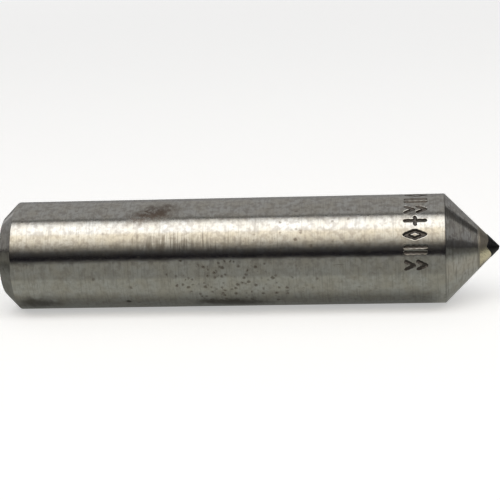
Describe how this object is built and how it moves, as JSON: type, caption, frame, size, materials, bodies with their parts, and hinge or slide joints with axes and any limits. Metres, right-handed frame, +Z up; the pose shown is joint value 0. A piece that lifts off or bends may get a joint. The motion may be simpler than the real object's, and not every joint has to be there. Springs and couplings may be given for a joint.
{
  "type": "single-point diamond dresser",
  "caption": "Round steel shank with a chamfered heel and a right-angled nose, tipped with an industrial diamond, for truing and dressing grinding wheels.",
  "frame": {"origin": "centre of the flat heel face, on the shank's axis", "axes": "+X along the shank from the heel to the stone's point, +Z up, +Y to the back"},
  "size_m": [0.0508, 0.0112, 0.0112],
  "materials": {
    "turned_steel": "satin",
    "silver_solder": "satin",
    "sintered_metal": "satin",
    "diamond": "gloss"
  },
  "bodies": {
    "root": {"shank": "turned_steel", "braze_joint": "silver_solder", "setting_matrix": "sintered_metal", "diamond_stone": "diamond"}
  },
  "joints": []
}
